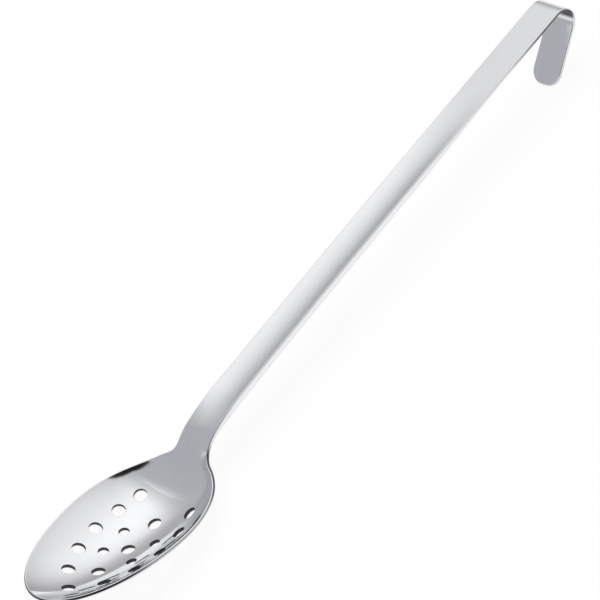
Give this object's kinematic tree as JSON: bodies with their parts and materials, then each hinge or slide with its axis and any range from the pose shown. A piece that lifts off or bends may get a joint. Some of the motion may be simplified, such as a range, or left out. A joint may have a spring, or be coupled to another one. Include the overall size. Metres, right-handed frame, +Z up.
{
  "type": "slotted spoon",
  "caption": "Perforated steel serving spoon pressed from one sheet, with a long strip handle that ends in a hanging hook.",
  "frame": {"origin": "on the table, under the middle of the spoon's overall length and width, as it lies at rest on the bowl's belly and the hook's end", "axes": "+X from the bowl towards the hook, +Y across the spoon, +Z up out of the bowl"},
  "size_m": [0.401, 0.0708, 0.0335],
  "materials": {
    "steel": "polished in the bowl, satin along the handle"
  },
  "bodies": {
    "root": {"spoon": "steel"}
  },
  "joints": []
}
